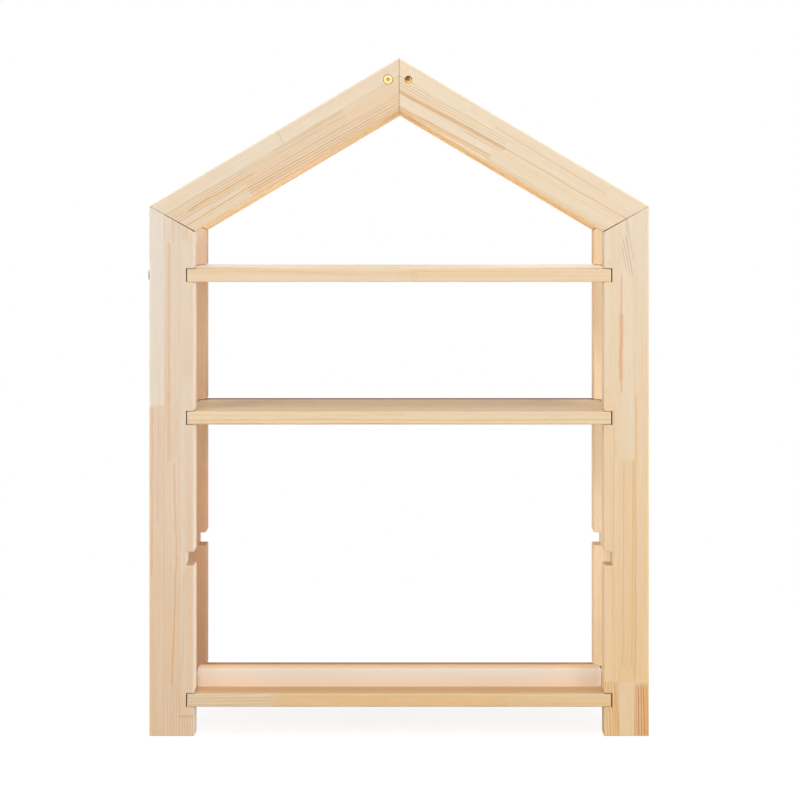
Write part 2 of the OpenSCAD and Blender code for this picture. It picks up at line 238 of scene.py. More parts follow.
RING_MIN = 2.9 * MM         # narrowest spacing of the growth rings
RING_MORE = 1.2 * MM        # how much wider the widest spacing is
RING_PROFILE = [(0.0, 0.0), (0.45, 0.04), (0.75, 0.8), (0.88, 1.0), (1.0, 0.0)]
PITH_AWAY = 40 * MM         # least distance of the pith from the member's near edge
PITH_SPREAD = 60 * MM       # how much farther off a seed can set it
BEND = 8 * MM               # swing of the rings along the trunk
LEAN = 0.5                  # slope of the rings in a piece whose tilt is 1.5, where 0.5 is straight
LATE_LEAST = 0.35           # strength of the rings where they fade most
LATE_MORE = 1.3             # how much stronger they can be elsewhere
STREAKS = 0.8               # swing of the tone in streaks
BLUSH = 0.2                 # most that the wood can turn pink
LIGHTNESS = 0.895           # brightness without fibres and flecks
FIBRE_LIGHT = 0.11          # what these add to it
FLECK_LIGHT = 0.10
PINE_ROUGHNESS = 0.54
FIBRE_ROUGHNESS = 0.16
LATE_SMOOTHNESS = 0.08


def make_grain_group():
    """Grain of one piece of pine, from a point (along, across, deep) and the piece's own looks."""
    group = bpy.data.node_groups.new("pine_grain", "ShaderNodeTree")
    for name, kind in (("Point", "NodeSocketVector"), ("Pale", "NodeSocketColor"),
                       ("Warm", "NodeSocketColor"), ("Tone", "NodeSocketFloat"),
                       ("Rings", "NodeSocketFloat"), ("Tilt", "NodeSocketFloat"),
                       ("Seed", "NodeSocketVector")):
        group.interface.new_socket(name, in_out="INPUT", socket_type=kind)
    for name, kind in (("Color", "NodeSocketColor"), ("Roughness", "NodeSocketFloat"),
                       ("Height", "NodeSocketFloat")):
        group.interface.new_socket(name, in_out="OUTPUT", socket_type=kind)
    net = Net(group)
    given = net.add("NodeGroupInput").outputs
    seed_x, seed_y, seed_z = net.split(given["Seed"])
    along, across, deep = net.split(given["Point"])

    # Each piece takes its noise from another place
    moved = net.vector("ADD", given["Point"], net.vector("MULTIPLY", given["Seed"], SEED_MOVES))
    warp = net.noise(moved, WARP_SCALE)
    streaks = net.noise(moved, STREAK_SCALE, 3.0)
    fibres = net.noise(moved, FIBRE_SCALE, 3.0, 0.6)
    flecks = net.noise(moved, FLECK_SCALE)
    blush = net.noise(moved, BLUSH_SCALE)
    fading = net.noise(moved, FADING_SCALE)

    # Distance from the pith, which lies to the side of the piece, bent along the trunk
    from_pith = net.join(
        0.0,
        net.math("ADD", across, net.rise(PITH_AWAY, seed_x, PITH_SPREAD)),
        net.rise(deep, seed_y, PITH_SPREAD),
    )
    bend = net.swing(warp, BEND)
    lean = net.math("MULTIPLY", along, net.swing(given["Tilt"], LEAN))
    radius = net.math("ADD", net.vector("LENGTH", from_pith), net.math("ADD", bend, lean))
    ring = net.math("FRACT", net.math("DIVIDE", radius, net.rise(RING_MIN, seed_z, RING_MORE)))
    strength = net.math("MULTIPLY", given["Rings"], net.rise(LATE_LEAST, fading, LATE_MORE))
    late = net.math("MULTIPLY", net.ramp(ring, RING_PROFILE), strength, clamp=True)

    warmth = net.math("ADD", given["Tone"], net.swing(streaks, STREAKS), clamp=True)
    colour = net.mix(warmth, given["Pale"], given["Warm"])
    colour = net.mix(net.math("MULTIPLY", blush, BLUSH), colour, PINK)
    colour = net.mix(late, colour, LATEWOOD)
    shade = net.rise(net.rise(LIGHTNESS, fibres, FIBRE_LIGHT), flecks, FLECK_LIGHT)
    rough = net.math("SUBTRACT", net.rise(PINE_ROUGHNESS, fibres, FIBRE_ROUGHNESS),
                     net.math("MULTIPLY", late, LATE_SMOOTHNESS))
    height = net.math("ADD", net.math("MULTIPLY", fibres, 0.5), net.math("MULTIPLY", late, 0.5))
    result = net.add("NodeGroupOutput").inputs
    net.put(result["Color"], net.tinted(colour, net.grey(shade)))
    net.put(result["Roughness"], rough)
    net.put(result["Height"], height)
    return group


# ---------- pine: members and boards glued from pieces ----------

FINGER_L = 5 * MM           # half the length of a finger in a finger joint
FINGER_PITCH = 3.8 * MM
WAVE_START = 1.0            # keeps the depth above 0 where it is counted towards the front
JOINT_LINE = 0.35 * MM      # half the width of a visible glue line
RIDGE_LINE = 0.6 * MM       # the same at the ridge
JOINT_STRENGTH = 0.48
SEAM_SHARE = (0.4, 0.4, 0.4, 1.0)   # strength of a line between staves, where a finger joint's is 1
RIDGE_STRENGTH = 0.5
SEED_PLACE = (0.37, 0.11)   # any place in the noise that the seeds are drawn from

LAYER_SCALE = 7.0           # how often a layer sags, per metre
LAYER_SAG = 3 * MM
LINE_SCALE = (16.0, 8.0)    # how often a line wanders, per metre along and across
LINE_WANDER = 4 * MM
BREAK_SCALE = (45.0, 300.0)     # how often its strength changes
BREAK_LEAST = 0.55
BREAK_MORE = 0.9
LINE_FULL = 1               # mm inside its ends where a line starts to fade
LINE_TAPER = 3              # mm outside them where it is gone

# Shares of a face's normal that point some way, for faces that roughly and squarely look there
ROUGHLY = 0.5
SQUARELY = 0.8
END_STRENGTH = 0.35
PINE_BUMP = 0.25
PINE_RELIEF = 0.25 * MM


def facing(net, coordinates, direction):
    """Share of the face's normal that points in a direction."""
    return net.vector("DOT_PRODUCT", coordinates["Normal"], direction)


def glued_staves(net, share, v, length, widths, staves):
    """Looks (tone, rings, tilt), strength of the glue lines and number of the stave at a point.

    share is the point's place along the member, from 0 to 1, and v its place across in metres.
    """
    look = line = index = None
    edge = 0.0
    for number, (width, pieces) in enumerate(zip(widths, staves)):
        stops = [(start * MM / length, (tone, rings, tilt)) for start, tone, rings, tilt in pieces]
        marks = [(0.0, 0.0)]
        for start, *_ in pieces[1:]:
            at = start * MM / length
            half = JOINT_LINE / length
            marks += [(at - half, 0.0), (at, 1.0), (at + half, 0.0)]
        stave_look = net.ramp(share, stops, "CONSTANT")
        stave_line = net.ramp(share, marks)
        if number == 0:
            look, line, index = stave_look, stave_line, 0.0
        else:
            past = net.math("GREATER_THAN", v, edge)
            look = net.mix(past, look, stave_look)
            line = net.mix(past, line, stave_line)
            index = net.math("ADD", index, past)
            seam = net.math("LESS_THAN", net.gap(v, edge), JOINT_LINE)
            line = net.mix(seam, line, SEAM_SHARE)
        edge += width * MM
    return look, line, index


def draw_layers(net, colour, u, w, layers):
    for height, half, strength, tint in layers:
        sag = net.noise(net.join(net.math("MULTIPLY", u, LAYER_SCALE), height, 0.0), 1.0)
        level = net.math("ADD", w, net.swing(sag, LAYER_SAG))
        band = net.band(net.gap(level, height * MM), half * MM)
        colour = net.mix(net.math("MULTIPLY", band, strength), colour, tint)
    return colour


def noise_on_face(net, u, v, scales):
    """Noise that changes along and across the member, and not with its depth."""
    place = net.join(net.math("MULTIPLY", u, scales[0]), net.math("MULTIPLY", v, scales[1]), 0.0)
    return net.noise(place, 1.0)


def draw_lines(net, colour, u, v, length, lines, wide=None):
    """Draws single lines of grain.

    wide is how squarely the face is a wide one, given where the lines stay on the wide faces.
    """
    swung = net.math("ADD", v, net.swing(noise_on_face(net, u, v, LINE_SCALE), LINE_WANDER))
    broken = net.rise(BREAK_LEAST, noise_on_face(net, u, v, BREAK_SCALE), BREAK_MORE)
    for begin, end, v_begin, v_end, half, strength, tint in lines:
        slope = (v_end - v_begin) / (end - begin)
        centre = net.math("ADD", net.math("MULTIPLY", u, slope), (v_begin - slope * begin) * MM)
        band = net.band(net.gap(swung, centre), half * MM)
        ends = net.ramp(net.math("DIVIDE", u, length),
                        [(max(begin - LINE_TAPER, 0) * MM / length, 0.0),
                         ((begin + LINE_FULL) * MM / length, 1.0),
                         ((end - LINE_FULL) * MM / length, 1.0),
                         ((end + LINE_TAPER) * MM / length, 0.0)])
        factor = net.math("MULTIPLY", net.math("MULTIPLY", band, ends),
                          net.math("MULTIPLY", broken, strength), clamp=True)
        if wide is not None:
            factor = net.math("MULTIPLY", factor, net.math("GREATER_THAN", wide, ROUGHLY))
        colour = net.mix(factor, colour, tint)
    return colour


def pine(name, origin, along, across, length, widths, staves, group, tones=(PALE, WARM), painted_warm_drift=0.0,
         gains=None, edge_tint=None, layers=(), lines=(), flat_lines=False, ridge=False, painted_side_light=0.0,
         gloss=0.30):
    """Material of one laminated member or board.

    origin is the corner where along, across and deep are 0, and length is the member's, in metres.
    widths are the staves' widths in mm. staves holds a list of pieces for each stave, and a piece is
    (start, tone, rings, tilt), with its start in mm from the member's lower, left or front end.
    tones are the colours at tone 0 and 1. The argument after them lowers the tone by its amount from that
    end to the other, which paints warmer light low down on the posts.
    gains are the wood's brightness at the two ends; on the rear posts they also paint light and shade.
    edge_tint multiplies the colour of the narrow face at across = 0; on the rafters that paints light on
    their undersides.
    layers are lines that run flat through the member's depth: (height, half width, strength, colour).
    lines are single lines of grain: (from, to, across at from, across at to, half width, strength,
    colour), and flat_lines keeps them off the narrow faces.
    ridge is True where the member meets another at x = 0.
    The argument before gloss says how far the narrow face at the far end of across is painted pale, as
    light falling from that side.
    gloss is the strength of the reflection.
    """
    material, net, shader = new_material(name)
    deep = along.cross(across)
    mapping = net.add("ShaderNodeMapping", vector_type="TEXTURE")
    coordinates = net.add("ShaderNodeTexCoord").outputs
    net.put(mapping.inputs["Vector"], coordinates["Object"])
    mapping.inputs["Location"].default_value = origin
    mapping.inputs["Rotation"].default_value = Matrix((along, across, deep)).transposed().to_euler()
    u, v, w = net.split(mapping.outputs[0])

    # The fingers of a joint run through the member's depth, so its wide face shows a straight line
    wave = net.math("PINGPONG", net.math("ADD", w, WAVE_START), FINGER_PITCH / 2)
    steepness = 2 * FINGER_L / (FINGER_PITCH / 2)
    finger = net.math("SUBTRACT", net.math("MULTIPLY", wave, steepness), FINGER_L)
    share = net.math("DIVIDE", net.math("ADD", u, finger), length)
    look, line, index = glued_staves(net, share, v, length, widths, staves)
    tone, rings, tilt = net.split(look)
    # Painted light: a warmer tone towards the lower end, for the warmer light low down
    if painted_warm_drift:
        from_middle = net.math("SUBTRACT", 0.5, net.math("DIVIDE", u, length))
        tone = net.math("ADD", tone, net.math("MULTIPLY", from_middle, painted_warm_drift))

    grain = net.add("ShaderNodeGroup", node_tree=group)
    net.put(grain.inputs["Point"], net.join(u, v, w))
    net.put(grain.inputs["Pale"], tones[0])
    net.put(grain.inputs["Warm"], tones[1])
    net.put(grain.inputs["Tone"], tone)
    net.put(grain.inputs["Rings"], rings)
    net.put(grain.inputs["Tilt"], tilt)
    seed_place = net.vector("ADD", look, net.join(index, *SEED_PLACE))
    net.put(grain.inputs["Seed"], net.white_noise(seed_place))

    colour = grain.outputs["Color"]
    if gains:
        gain = net.math("MULTIPLY", net.math("DIVIDE", u, length), gains[1] - gains[0])
        colour = net.tinted(colour, net.grey(net.math("ADD", gain, gains[0])))
    if edge_tint:
        near = net.math("LESS_THAN", facing(net, coordinates, across), -ROUGHLY)
        colour = net.mix(near, colour, net.tinted(colour, (*edge_tint, 1.0)))
    colour = draw_layers(net, colour, u, w, layers)
    if lines:
        wide = net.math("ABSOLUTE", facing(net, coordinates, deep)) if flat_lines else None
        colour = draw_lines(net, colour, u, v, length, lines, wide)
    colour = net.mix(net.math("MULTIPLY", line, JOINT_STRENGTH), colour, GLUE)
    if ridge:
        from_ridge = net.math("ABSOLUTE", net.split(coordinates["Object"])[0])
        at_ridge = net.math("LESS_THAN", from_ridge, RIDGE_LINE)
        colour = net.mix(net.math("MULTIPLY", at_ridge, RIDGE_STRENGTH), colour, GLUE)
    # Painted light on the narrow face at the far end of across
    if painted_side_light:
        far = net.math("GREATER_THAN", facing(net, coordinates, across), SQUARELY)
        colour = net.mix(net.math("MULTIPLY", far, painted_side_light), colour, PAINTED_SIDE_LIGHT)
    # Cut ends soak up more light
    end = net.math("GREATER_THAN", net.math("ABSOLUTE", facing(net, coordinates, along)), SQUARELY)
    colour = net.mix(net.math("MULTIPLY", end, END_STRENGTH), colour, net.tinted(colour, END_GRAIN))

    net.put(shader.inputs["Base Color"], colour)
    net.put(shader.inputs["Roughness"], grain.outputs["Roughness"])
    net.bump(shader, grain.outputs["Height"], PINE_BUMP, PINE_RELIEF)
    shader.inputs["Specular IOR Level"].default_value = gloss
    return material


# ---------- birch ----------

BIRCH = linear(246, 236, 224)
BIRCH_STREAK = linear(245, 231, 214)
# Painted shade on the rail's rounded upper edge
PAINTED_SHADE_BIRCH_TOP = linear(237, 206, 166)
# Painted warm light thrown up from the shelf onto the rail's lower part
PAINTED_BOUNCE_PEACH = linear(250, 231, 208)
BIRCH_SCALE = 90            # of the grain, per metre across it
BIRCH_SCALE_ALONG = 3
BIRCH_FIBRES = 6            # how much finer than the grain the fibres are
BIRCH_ROUGHNESS = 0.42
BIRCH_FIBRE_ROUGHNESS = 0.14
BIRCH_BUMP = 0.12
BIRCH_RELIEF = 0.1 * MM
BIRCH_GLOSS = 0.30


def birch(name, along, low, high):
    """Pale wood sanded so smooth that its grain hardly shows, between heights low and high, with painted
    light low down and painted shade along its rounded top.
    """
    material, net, shader = new_material(name)
    coordinates = net.add("ShaderNodeTexCoord").outputs
    scale = Vector((BIRCH_SCALE, BIRCH_SCALE, BIRCH_SCALE)) - (BIRCH_SCALE - BIRCH_SCALE_ALONG) * along
    grain = net.noise(coordinates["Object"], tuple(scale), 3.0)
    fibres = net.noise(coordinates["Object"], tuple(scale * BIRCH_FIBRES))
    colour = net.mix(net.ramp(grain, [(0.3, 0.0), (0.7, 1.0)]), BIRCH, BIRCH_STREAK)
    # Painted light thrown up from the shelf: the lower part is peach
    above = net.math("SUBTRACT", net.split(coordinates["Object"])[2], low)
    height = net.math("DIVIDE", above, high - low)
    colour = net.mix(net.ramp(height, [(0.25, 1.0), (0.65, 0.0)]), colour, PAINTED_BOUNCE_PEACH)
    # Painted shade: the rounded upper edge, which faces up, is darker and warmer
    upward = net.split(coordinates["Normal"])[2]
    colour = net.mix(net.ramp(upward, [(0.15, 0.0), (0.7, 1.0)]), colour, PAINTED_SHADE_BIRCH_TOP)
    net.put(shader.inputs["Base Color"], colour)
    net.put(shader.inputs["Roughness"], net.rise(BIRCH_ROUGHNESS, fibres, BIRCH_FIBRE_ROUGHNESS))
    net.bump(shader, fibres, BIRCH_BUMP, BIRCH_RELIEF)
    shader.inputs["Specular IOR Level"].default_value = BIRCH_GLOSS
    return material


# ---------- metal ----------

PALE_BRASS = linear(214, 190, 138)
DARK_BRASS = linear(150, 104, 52)
RECESSED_BRASS = linear(238, 196, 112)
RECESSED_STAIN_AND_SHADE = linear(112, 66, 28)
YELLOW_ZINC = linear(214, 176, 98)
# Dark zinc of the proud bolt, whose darkness paints the shade it lies in
SHADE_DARK_ZINC = linear(128, 96, 74)
SHADE_DARK_STAIN = linear(98, 70, 52)
BRIGHT_ZINC = linear(196, 190, 182)
BRIGHT_STAIN = linear(158, 148, 138)

# Colour, stain and roughness; the stain is also the colour of the painted shade in a socket
METALS = {
    "flush_brass": (PALE_BRASS, DARK_BRASS, 0.30),
    "recessed_brass": (RECESSED_BRASS, RECESSED_STAIN_AND_SHADE, 0.34),
    "yellow_zinc": (YELLOW_ZINC, DARK_BRASS, 0.32),
    "shade_dark_zinc": (SHADE_DARK_ZINC, SHADE_DARK_STAIN, 0.55),
    "bright_zinc": (BRIGHT_ZINC, BRIGHT_STAIN, 0.34),
}
SOCKET_R = 2.6 * MM
PATCH_SCALE = 420.0             # per metre
SCRATCH_SCALE = (900, 900, 5000)
STAIN_STRENGTH = 0.6
SOCKET_STRENGTH = 0.85
# Strength of the painted shade from the axis outwards, over 2 radii of the socket
PAINTED_SOCKET_SHADE = [(0.0, 0.35), (0.12, 0.75), (0.42, 1.0), (0.56, 0.0)]
LOWER_RIGHT = (0.7, 0.0, -0.7)
# Strength of the painted shade from the upper left to the lower right, over 4 radii of the socket
PAINTED_RECESS_SHADE = [(0.25, 0.85), (0.6, 0.0)]
SCRATCH_ROUGHNESS = 0.16
METAL_BUMP = 0.3
METAL_RELIEF = 0.08 * MM


def metal(name, axis=None, sunk=False):
    """Plated metal; axis is a point on the middle line of a fastener whose socket gets painted shade.

    sunk paints shade on its upper left, where the wall of its deep hole would shade it.
    """
    colour, stain_and_shade, roughness = METALS[name]
    material, net, shader = new_material(name)
    coordinates = net.add("ShaderNodeTexCoord").outputs["Object"]
    patches = net.noise(coordinates, PATCH_SCALE, 3.0)
    scratches = net.noise(coordinates, SCRATCH_SCALE)
    shade = net.mix(net.math("MULTIPLY", patches, STAIN_STRENGTH), colour, stain_and_shade)
    if axis is not None:
        # Painted shade in the socket
        from_axis = net.vector("MULTIPLY", net.vector("SUBTRACT", coordinates, tuple(axis)), (1, 0, 1))
        out = net.math("DIVIDE", net.vector("LENGTH", from_axis), 2 * SOCKET_R)
        inside = net.math("MULTIPLY", net.ramp(out, PAINTED_SOCKET_SHADE), SOCKET_STRENGTH)
        shade = net.mix(inside, shade, stain_and_shade)
        if sunk:
            # Painted shade on the upper left, as cast by the wall of the hole
            lit = net.math("DIVIDE", net.vector("DOT_PRODUCT", from_axis, LOWER_RIGHT), 4 * SOCKET_R)
            shade = net.mix(net.ramp(net.math("ADD", lit, 0.5), PAINTED_RECESS_SHADE), shade, stain_and_shade)
    net.put(shader.inputs["Base Color"], shade)
    net.put(shader.inputs["Roughness"], net.rise(roughness, scratches, SCRATCH_ROUGHNESS))
    net.bump(shader, net.math("ADD", scratches, patches), METAL_BUMP, METAL_RELIEF)
    shader.inputs["Metallic"].default_value = 1.0
    return material


# ---------- looks of the wooden pieces ----------

# Colours of single lines and layers, and of the broad bands on the shelves; the bands other than EVEN_TOP
# are painted shade and shadow
RESIN = linear(220, 162, 106)
BROWN = linear(184, 132, 74)
RUST = linear(196, 122, 72)
GOLD = linear(214, 160, 74)
# Painted shadow along the rear edge of the middle shelf's top
PAINTED_REAR_SHADOW = linear(112, 72, 42)
# Painted shade on the bottom shelf's top behind the rail
PAINTED_SHADE_BEHIND_RAIL = linear(214, 150, 86)
# Painted shadow of the rail on the bottom shelf's top, in front of it
PAINTED_RAIL_SHADOW = linear(214, 174, 131)
# Painted shade over the front of the middle shelf's top, where more light falls on it
PAINTED_FRONT_SHADE = linear(226, 200, 170)
EVEN_TOP = linear(240, 210, 176)

MEMBER_STAVES = 3
MEMBER_WIDTHS = [member_w / MM / MEMBER_STAVES] * MEMBER_STAVES
SHELF_WIDTHS = [43.0, 40.5, 40.5, 40.5, 40.5, 30.0]
SHELF_END = 594             # where a line over the whole length of a shelf ends

# Each stave's pieces: (start in mm, tone, rings, tilt)
STAVES = {
    "front_left_post": [
        [(0, 0.46, 0.14, 0.50), (459, 0.16, 0.05, 0.51)],
        [(0, 0.30, 0.45, 0.51), (72, 0.42, 0.16, 0.50), (386, 0.38, 0.20, 0.49), (691, 0.36, 0.32, 0.52)],
        [(0, 0.28, 0.50, 0.49), (26, 0.34, 0.10, 0.51), (500, 0.42, 0.08, 0.50), (691, 0.38, 0.26, 0.50)],
    ],
    "front_right_post": [
        [(0, 0.60, 0.70, 0.56), (73, 0.58, 0.08, 0.51), (482, 0.46, 0.10, 0.50)],
        [(0, 0.36, 0.12, 0.50), (74, 0.64, 0.26, 0.49), (384, 0.34, 0.12, 0.50), (646, 0.30, 0.15, 0.56)],
        [(0, 0.60, 0.95, 0.51), (70, 0.62, 0.10, 0.50), (480, 0.44, 0.14, 0.51)],
    ],
    "front_left_rafter": [
        [(0, 0.20, 0.22, 0.50), (130, 0.46, 0.50, 0.53)],
        [(0, 0.26, 0.80, 0.49), (76, 0.24, 0.60, 0.52), (300, 0.38, 0.14, 0.50)],
        [(0, 0.10, 0.05, 0.50), (205, 0.13, 0.07, 0.51)],
    ],
    "front_right_rafter": [
        [(0, 0.22, 0.16, 0.50), (228, 0.16, 0.12, 0.50)],
        [(0, 0.24, 0.10, 0.51), (214, 0.20, 0.60, 0.56)],
        [(0, 0.16, 0.06, 0.49), (284, 0.14, 0.08, 0.50)],
    ],
    # Painted shade: dark, warm pieces below the top shelf, where the front left post and the shelves
    # shade this post, and paler pieces above it from 645 mm
    "rear_left_post": [
        [(0, 0.86, 0.25, 0.50), (310, 0.80, 0.15, 0.51), (645, 0.44, 0.10, 0.50)],
        [(0, 0.80, 0.12, 0.49), (270, 0.88, 0.30, 0.50), (645, 0.40, 0.14, 0.50)],
        [(0, 0.90, 0.18, 0.51), (350, 0.80, 0.10, 0.50), (645, 0.46, 0.08, 0.51)],
    ],
    "ridge_beam": [
        [(0, 0.35, 0.20, 0.50)],
        [(0, 0.42, 0.10, 0.50)],
        [(0, 0.30, 0.30, 0.50)],
    ],
    "bottom_shelf": [
        [(0, 0.42, 0.45, 0.50), (120, 1.10, 0.12, 0.50), (452, 0.80, 0.10, 0.50)],
        [(0, 0.90, 0.06, 0.50)],
        [(0, 0.66, 0.05, 0.52)],
        [(0, 0.72, 0.08, 0.48)],
        [(0, 0.90, 0.06, 0.50)],
        [(0, 0.95, 0.18, 0.50)],
    ],
    "middle_shelf": [
        [(0, 0.44, 0.14, 0.50), (300, 0.34, 0.12, 0.50)],
        [(0, 0.58, 0.12, 0.50), (352, 0.54, 0.10, 0.51)],
        [(0, 0.56, 0.10, 0.52)],
        [(0, 0.60, 0.14, 0.47), (396, 0.54, 0.10, 0.50)],
        [(0, 0.57, 0.08, 0.50)],
        [(0, 0.60, 0.12, 0.50)],
    ],
    "top_shelf": [
        [(0, 0.64, 0.16, 0.50), (318, 0.66, 0.12, 0.50)],
        [(0, 0.14, 0.08, 0.50), (290, 0.08, 0.06, 0.50)],
        [(0, 0.16, 0.07, 0.52)],
        [(0, 0.12, 0.08, 0.47), (241, 0.10, 0.07, 0.51)],
        [(0, 0.15, 0.06, 0.50)],
        [(0, 0.13, 0.08, 0.50)],
    ],
}
DOWEL_WIDTHS = [100]        # a single stave takes up all of a dowel
DOWEL_STAVES = [[(0, 0.7, 0.2, 0.5)]]

# Tone and range of the rings of members whose joints nobody sees in the picture
CHANCE_LOOKS = {
    "rear_right_post": (0.50, (0.02, 0.10)),
    "rear_left_rafter": (0.60, (0.05, 0.35)),
    "rear_right_rafter": (0.95, (0.05, 0.35)),
}
CHANCE_SEED = 11
CHANCE_TILTS = (0.46, 0.54)
CHANCE_TONE = 0.12          # how far a piece's tone can lie from the member's
CHANCE_LENGTHS = (180, 460)     # in mm
LAST_PIECE = 60             # no piece starts nearer to the member's end than this, in mm

# Single lines: (from, to, across at from, across at to, half width, strength, colour), sizes in mm.
# Those of the shelves are broad bands, most of them painted shade and shadow, and a strength over 1 gives
# a band an even middle.
LINES = {
    "front_left_post": [
        (470, 690, 28.4, 28.2, 2.8, 0.46, RESIN), (386, 480, 27.6, 27.4, 4.2, 0.45, RESIN),
        (691, 742, 34.0, 33.0, 1.6, 0.45, RESIN), (691, 742, 52.0, 52.0, 1.6, 0.40, RESIN),
        (470, 690, 24.2, 25.6, 1.4, 0.35, RESIN), (72, 250, 32.0, 38.0, 1.8, 0.42, BROWN),
        (250, 382, 38.0, 35.0, 1.8, 0.36, BROWN), (225, 459, 3.6, 4.2, 2.0, 0.50, RESIN),
        (300, 459, 12.0, 13.0, 1.2, 0.25, BROWN), (90, 230, 47.0, 49.0, 1.4, 0.22, BROWN),
    ],
    "front_right_post": [
        (482, 646, 24.0, 24.0, 2.2, 0.70, RESIN), (500, 590, 24.2, 24.4, 4.4, 0.65, RESIN),
        (646, 700, 39.5, 30.0, 1.3, 0.50, BROWN), (648, 696, 35.5, 26.5, 1.3, 0.50, BROWN),
        (650, 684, 31.0, 25.0, 1.2, 0.40, BROWN), (668, 730, 40.0, 32.0, 1.3, 0.42, BROWN),
        (684, 738, 34.0, 29.0, 1.2, 0.35, BROWN), (100, 384, 38.5, 41.5, 1.8, 0.42, GOLD),
        (84, 300, 43.0, 45.0, 2.0, 0.25, RESIN), (100, 384, 26.0, 28.0, 1.6, 0.25, BROWN),
        (0, 73, 19.5, 14.5, 1.8, 0.80, RESIN), (0, 73, 16.0, 10.0, 1.4, 0.50, RESIN),
        (0, 73, 9.0, 4.0, 1.4, 0.60, RESIN), (150, 460, 12.0, 14.0, 1.6, 0.20, BROWN),
        (0, 70, 60.5, 59.5, 1.6, 0.60, RUST), (0, 70, 56.5, 55.0, 1.8, 0.85, RUST),
        (0, 70, 52.5, 51.5, 1.8, 0.75, RUST), (0, 70, 48.0, 47.5, 1.8, 0.85, RUST),
        (0, 70, 44.0, 44.0, 1.4, 0.50, RUST), (80, 478, 43.8, 45.0, 2.2, 0.40, RESIN),
    ],
    "front_left_rafter": [
        (30, 130, 12.4, 15.0, 1.3, 0.75, GOLD), (44, 76, 28.6, 30.4, 2.2, 0.75, GOLD),
        (76, 150, 30.0, 27.6, 2.4, 0.55, GOLD), (130, 372, 14.0, 9.0, 1.1, 0.35, BROWN),
        (130, 372, 10.0, 5.5, 1.1, 0.35, BROWN), (130, 372, 6.5, 2.5, 1.1, 0.40, BROWN),
        (190, 300, 40.5, 39.0, 1.1, 0.35, BROWN), (190, 300, 33.5, 32.0, 1.1, 0.30, BROWN),
        (316, 356, 15.5, 14.5, 2.2, 0.35, RESIN),
    ],
    "front_right_rafter": [
        (20, 215, 31.3, 29.5, 1.0, 0.55, BROWN), (215, 388, 29.5, 23.3, 1.4, 0.80, BROWN),
        (215, 388, 26.8, 21.0, 1.4, 0.60, GOLD), (228, 372, 10.0, 4.2, 2.0, 0.85, GOLD),
        (228, 372, 6.4, 1.6, 1.6, 0.65, GOLD), (60, 240, 46.5, 48.0, 3.0, 0.35, RESIN),
        (36, 228, 5.0, 4.6, 1.0, 0.35, BROWN), (36, 228, 1.8, 1.8, 1.2, 0.45, GOLD),
    ],
    "bottom_shelf": [
        # Painted shade on the top behind the rail
        (0, SHELF_END, 223.0, 223.0, 17.0, 3.0, PAINTED_SHADE_BEHIND_RAIL),
        # Painted shadow of the rail on the front strip of the top
        (0, SHELF_END, 36.0, 36.0, 34.0, 1.8, PAINTED_RAIL_SHADOW),
    ],
    "middle_shelf": [
        (0, SHELF_END, 120.0, 120.0, 300.0, 0.45, EVEN_TOP),
        # Painted shadow: a dark band along the rear edge of the top
        (0, SHELF_END, 225.0, 225.0, 15.0, 5.0, PAINTED_REAR_SHADOW),
        # Painted shade over the front of the top
        (0, SHELF_END, 22.0, 22.0, 22.0, 2.2, PAINTED_FRONT_SHADE),
    ],
}

# Flat layers: (height, half width, strength, colour), sizes in mm
LAYERS = {
    # The dark layer at the lowest mm of the bottom shelf paints the shade under its rounded lower edge
    "bottom_shelf": [(0.4, 1.0, 0.45, BROWN), (17.0, 1.2, 0.5, PALE)],
    "middle_shelf": [
        (6.5, 1.3, 0.6, RESIN), (0.8, 1.2, 0.6, BROWN), (10.5, 1.2, 0.5, PALE), (4.2, 1.0, 0.6, PALE),
    ],
}

# What else pine() takes for each piece
LOOKS = {
    # The front left post's inner side gets painted light
    # The front left post's pale, cool tone partly paints a glow of light on that side
    "front_left_post": {"tones": (COOL_WOOD_AND_PAINTED_GLOW, WARM), "painted_warm_drift": 0.42, "gains": (0.98, 0.98), "painted_side_light": 0.95},
    "front_right_post": {"tones": (PALE, GOLDEN), "painted_warm_drift": 0.66, "gains": (1.02, 1.01)},
    # Painted shade: darker towards the foot
    "rear_left_post": {"tones": (PALE, RUSSET_PAINTED_SHADE), "painted_warm_drift": 0.1, "gains": (0.81, 1.11)},
    # Painted light: brighter than its wood, most towards the top
    "rear_right_post": {"tones": (PALE, GOLDEN), "painted_warm_drift": 0.3, "gains": (1.21, 1.34)},
    "front_left_rafter": {"tones": (PALE, WARM)},
    "front_right_rafter": {"tones": (PALE, GOLDEN), "gains": (1.03, 1.03)},
    "rear_left_rafter": {"tones": (PALE, GOLDEN), "gains": (1.10, 1.10)},
    "rear_right_rafter": {"tones": (PALE, GOLDEN), "gains": (1.16, 1.16)},
    "bottom_shelf": {"tones": (PALE, GOLDEN), "gains": (0.99, 0.99), "gloss": 0.08},
    "middle_shelf": {"tones": (PALE, GOLDEN), "gains": (1.05, 1.03), "gloss": 0.12,
                     "edge_tint": (0.99, 0.985, 0.925)},
    # The top shelf's pale tones paint the sheen of light reflected off its top
    "top_shelf": {"tones": (PAINTED_SHEEN_PALE, GOLDEN), "gains": (0.96, 0.98), "gloss": 0.42},
}
# Painted light: brighter, more golden undersides of the rafters
RAFTER_UNDERSIDE_PAINTED_LIGHT = (1.25, 1.10, 0.85)


# ---------- dressing the pieces ----------

def dress(node, material):
    slots = nodes[node].data.materials
    slots.clear()
    slots.append(material)


